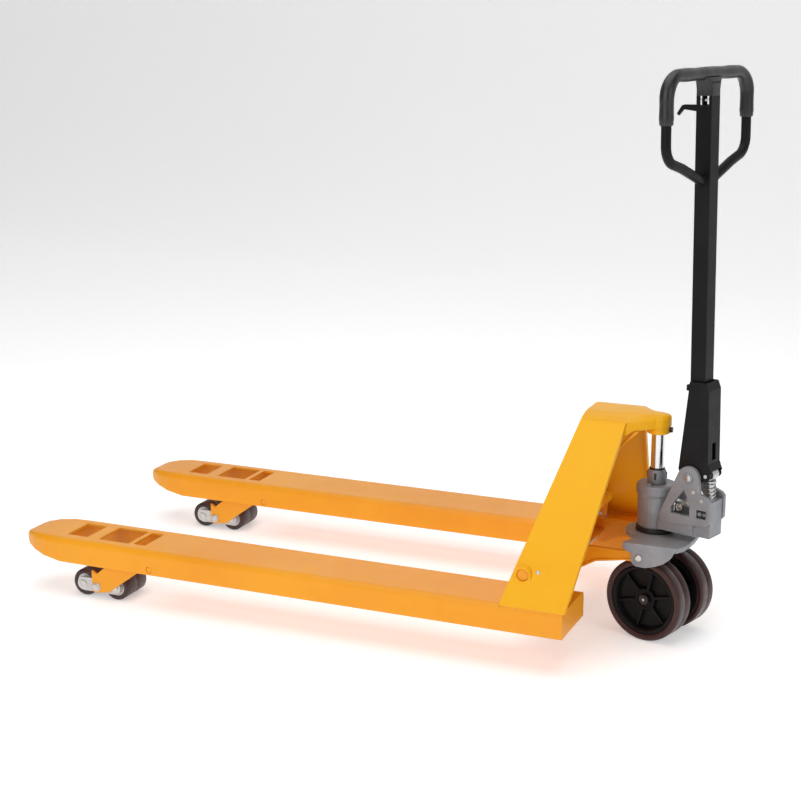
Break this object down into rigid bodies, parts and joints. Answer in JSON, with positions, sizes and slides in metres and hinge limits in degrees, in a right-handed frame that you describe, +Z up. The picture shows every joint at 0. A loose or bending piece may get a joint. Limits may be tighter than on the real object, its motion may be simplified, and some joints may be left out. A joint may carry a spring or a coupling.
{
  "type": "hand pallet truck",
  "caption": "Hand pallet truck with two long channel forks, tandem load rollers, a hydraulic pump over steered wheels and a tall drawbar with a loop handle",
  "frame": {"origin": "on the floor, under the middle of the overall length and the middle of the fork spread", "axes": "+X from the fork tips towards the operator, +Y to the far fork, +Z up"},
  "size_m": [1.5498, 0.69, 1.2017],
  "materials": {
    "yellow_paint": "gloss powder coat",
    "grey_casting": "satin paint over cast iron",
    "black_paint": "satin black enamel",
    "black_moulding": "textured moulding",
    "hub_plastic": "satin moulded nylon",
    "tread": "satin polyurethane",
    "bright_steel": "machined",
    "chrome": "hard chrome, polished",
    "zinc_plate": "zinc plated"
  },
  "bodies": {
    "fork_frame": {"fork_near": "yellow_paint", "fork_far": "yellow_paint", "side_plate_near": "yellow_paint", "side_plate_far": "yellow_paint", "bulkhead": "yellow_paint", "head_bracket": "yellow_paint", "head_gusset": "yellow_paint", "head_screw": "black_paint", "rocker_axle_near": "bright_steel", "rocker_axle_far": "bright_steel", "frame_pin_near": "bright_steel", "frame_pin_far": "bright_steel"},
    "entry_near": {"entry_roller_near": "black_moulding"},
    "entry_far": {"entry_roller_far": "black_moulding"},
    "rocker": {"rocker": "yellow_paint", "lever_pin_near": "zinc_plate", "lever_pin_far": "zinc_plate"},
    "yoke": {"yoke": "grey_casting", "yoke_pin_near": "zinc_plate", "yoke_pin_far": "zinc_plate", "thrust_ring": "black_paint"},
    "push_rod_near": {"push_rod_near": "zinc_plate"},
    "push_rod_far": {"push_rod_far": "zinc_plate"},
    "wheel_frame_near": {"wheel_frame_near": "yellow_paint", "rod_pin_near": "zinc_plate", "tandem_pin_near": "bright_steel"},
    "wheel_frame_far": {"wheel_frame_far": "yellow_paint", "rod_pin_far": "zinc_plate", "tandem_pin_far": "bright_steel"},
    "tandem_near": {"link_outer_near": "bright_steel", "link_inner_near": "bright_steel", "roller_axle_front_near": "bright_steel", "roller_axle_rear_near": "bright_steel"},
    "tandem_far": {"link_outer_far": "bright_steel", "link_inner_far": "bright_steel", "roller_axle_front_far": "bright_steel", "roller_axle_rear_far": "bright_steel"},
    "roller_front_near": {"load_roller_front_near": "tread"},
    "roller_rear_near": {"load_roller_rear_near": "tread"},
    "roller_front_far": {"load_roller_front_far": "tread"},
    "roller_rear_far": {"load_roller_rear_far": "tread"},
    "ram": {"ram": "chrome"},
    "pump": {"pump_housing": "grey_casting", "gland_nut": "grey_casting", "wheel_axle": "bright_steel", "release_valve": "zinc_plate", "piston_spring": "zinc_plate"},
    "piston": {"pump_piston": "bright_steel"},
    "release": {"release_lever": "zinc_plate"},
    "steer_wheel_near": {"steer_hub_near": "hub_plastic", "steer_tyre_near": "tread"},
    "steer_wheel_far": {"steer_hub_far": "hub_plastic", "steer_tyre_far": "tread"},
    "handle": {"drawbar": "black_paint", "handle_loop": "black_paint", "handle_grip": "black_moulding", "hinge_shaft": "zinc_plate"},
    "pressure_roller": {"pressure_roller": "bright_steel"},
    "control_lever": {"control_lever": "black_paint"},
    "control_rod": {"control_rod": "zinc_plate"}
  },
  "joints": [
    {"name": "steer", "type": "hinge", "parent": "fork_frame", "child": "ram", "pos_m": [0.6251, 0, 0.4], "axis": [0, 0, 1], "range_deg": [-74, 106]},
    {"name": "lift", "type": "slide", "parent": "ram", "child": "pump", "axis": [0, 0, -1], "range_m": [-0.057, 0.055]},
    {"name": "yoke_slide", "type": "slide", "parent": "fork_frame", "child": "yoke", "axis": [0, 0, -1], "range_m": [-0.057, 0.055]},
    {"name": "rocker_turn", "type": "hinge", "parent": "fork_frame", "child": "rocker", "pos_m": [0.4311, 0, 0.196], "axis": [0, 1, 0], "range_deg": [-17.2, 16.6]},
    {"name": "push_rod_slide_near", "type": "slide", "parent": "fork_frame", "child": "push_rod_near", "axis": [1, 0, 0], "range_m": [-0.0103, 0.0105]},
    {"name": "wheel_frame_turn_near", "type": "hinge", "parent": "fork_frame", "child": "wheel_frame_near", "pos_m": [-0.4279, -0.272, 0.098], "axis": [0, 1, 0], "range_deg": [-21, 21.8]},
    {"name": "tandem_turn_near", "type": "hinge", "parent": "wheel_frame_near", "child": "tandem_near", "pos_m": [-0.5779, -0.272, 0.031], "axis": [0, 1, 0], "range_deg": [-21.8, 21]},
    {"name": "roller_spin_front_near", "type": "hinge", "parent": "tandem_near", "child": "roller_front_near", "pos_m": [-0.6194, -0.272, 0.031], "axis": [0, 1, 0], "continuous": true},
    {"name": "roller_spin_rear_near", "type": "hinge", "parent": "tandem_near", "child": "roller_rear_near", "pos_m": [-0.5364, -0.272, 0.031], "axis": [0, 1, 0], "continuous": true},
    {"name": "entry_spin_near", "type": "hinge", "parent": "fork_frame", "child": "entry_near", "pos_m": [-0.7269, -0.272, 0.099], "axis": [0, 1, 0], "continuous": true},
    {"name": "push_rod_slide_far", "type": "slide", "parent": "fork_frame", "child": "push_rod_far", "axis": [1, 0, 0], "range_m": [-0.0103, 0.0105]},
    {"name": "wheel_frame_turn_far", "type": "hinge", "parent": "fork_frame", "child": "wheel_frame_far", "pos_m": [-0.4279, 0.272, 0.098], "axis": [0, 1, 0], "range_deg": [-21, 21.8]},
    {"name": "tandem_turn_far", "type": "hinge", "parent": "wheel_frame_far", "child": "tandem_far", "pos_m": [-0.5779, 0.272, 0.031], "axis": [0, 1, 0], "range_deg": [-21.8, 21]},
    {"name": "roller_spin_front_far", "type": "hinge", "parent": "tandem_far", "child": "roller_front_far", "pos_m": [-0.6194, 0.272, 0.031], "axis": [0, 1, 0], "continuous": true},
    {"name": "roller_spin_rear_far", "type": "hinge", "parent": "tandem_far", "child": "roller_rear_far", "pos_m": [-0.5364, 0.272, 0.031], "axis": [0, 1, 0], "continuous": true},
    {"name": "entry_spin_far", "type": "hinge", "parent": "fork_frame", "child": "entry_far", "pos_m": [-0.7269, 0.272, 0.099], "axis": [0, 1, 0], "continuous": true},
    {"name": "steer_wheel_spin_near", "type": "hinge", "parent": "pump", "child": "steer_wheel_near", "pos_m": [0.6424, -0.00496, 0.09], "axis": [0.2756, 0.9613, 0], "continuous": true},
    {"name": "steer_wheel_spin_far", "type": "hinge", "parent": "pump", "child": "steer_wheel_far", "pos_m": [0.6424, -0.00496, 0.09], "axis": [0.2756, 0.9613, 0], "continuous": true},
    {"name": "handle_tilt", "type": "hinge", "parent": "pump", "child": "handle", "pos_m": [0.71546, -0.02591, 0.366], "axis": [0.2756, 0.9613, 0], "range_deg": [0, 60], "stiffness_Nm_per_rad": 18, "springref_deg": -20.05},
    {"name": "piston_slide", "type": "slide", "parent": "pump", "child": "piston", "axis": [0, 0, -1], "range_m": [0, 0.0361], "deforming": ["piston_spring"]},
    {"name": "pressure_roller_spin", "type": "hinge", "parent": "handle", "child": "pressure_roller", "pos_m": [0.74798, -0.03524, 0.37286], "axis": [0.2756, 0.9613, 0], "continuous": true},
    {"name": "control_lever_turn", "type": "hinge", "parent": "handle", "child": "control_lever", "pos_m": [0.70665, -0.02338, 1.11801], "axis": [0.2756, 0.9613, 0], "range_deg": [-10.2, 10.2]},
    {"name": "control_rod_slide", "type": "slide", "parent": "handle", "child": "control_rod", "axis": [-0.0245, 0.007, 0.9997], "range_m": [-0.00175, 0.00175]},
    {"name": "release_turn", "type": "hinge", "parent": "pump", "child": "release", "pos_m": [0.69816, -0.02095, 0.3], "axis": [0.2756, 0.9613, 0], "range_deg": [-5.8, 5.8]}
  ],
  "couplings": [
    {"joint": "yoke_slide", "follows": "lift", "ratio": 1},
    {"joint": "rocker_turn", "follows": "lift", "rad_per_m": 5.154},
    {"joint": "push_rod_slide_near", "follows": "lift", "ratio": -0.1765},
    {"joint": "wheel_frame_turn_near", "follows": "lift", "rad_per_m": -6.545},
    {"joint": "tandem_turn_near", "follows": "lift", "rad_per_m": 6.545},
    {"joint": "push_rod_slide_far", "follows": "lift", "ratio": -0.1765},
    {"joint": "wheel_frame_turn_far", "follows": "lift", "rad_per_m": -6.545},
    {"joint": "tandem_turn_far", "follows": "lift", "rad_per_m": 6.545},
    {"joint": "piston_slide", "follows": "handle_tilt", "m_per_rad": 0.034377},
    {"joint": "control_lever_turn", "follows": "control_rod_slide", "rad_per_m": 100},
    {"joint": "release_turn", "follows": "control_rod_slide", "rad_per_m": -55.6}
  ]
}
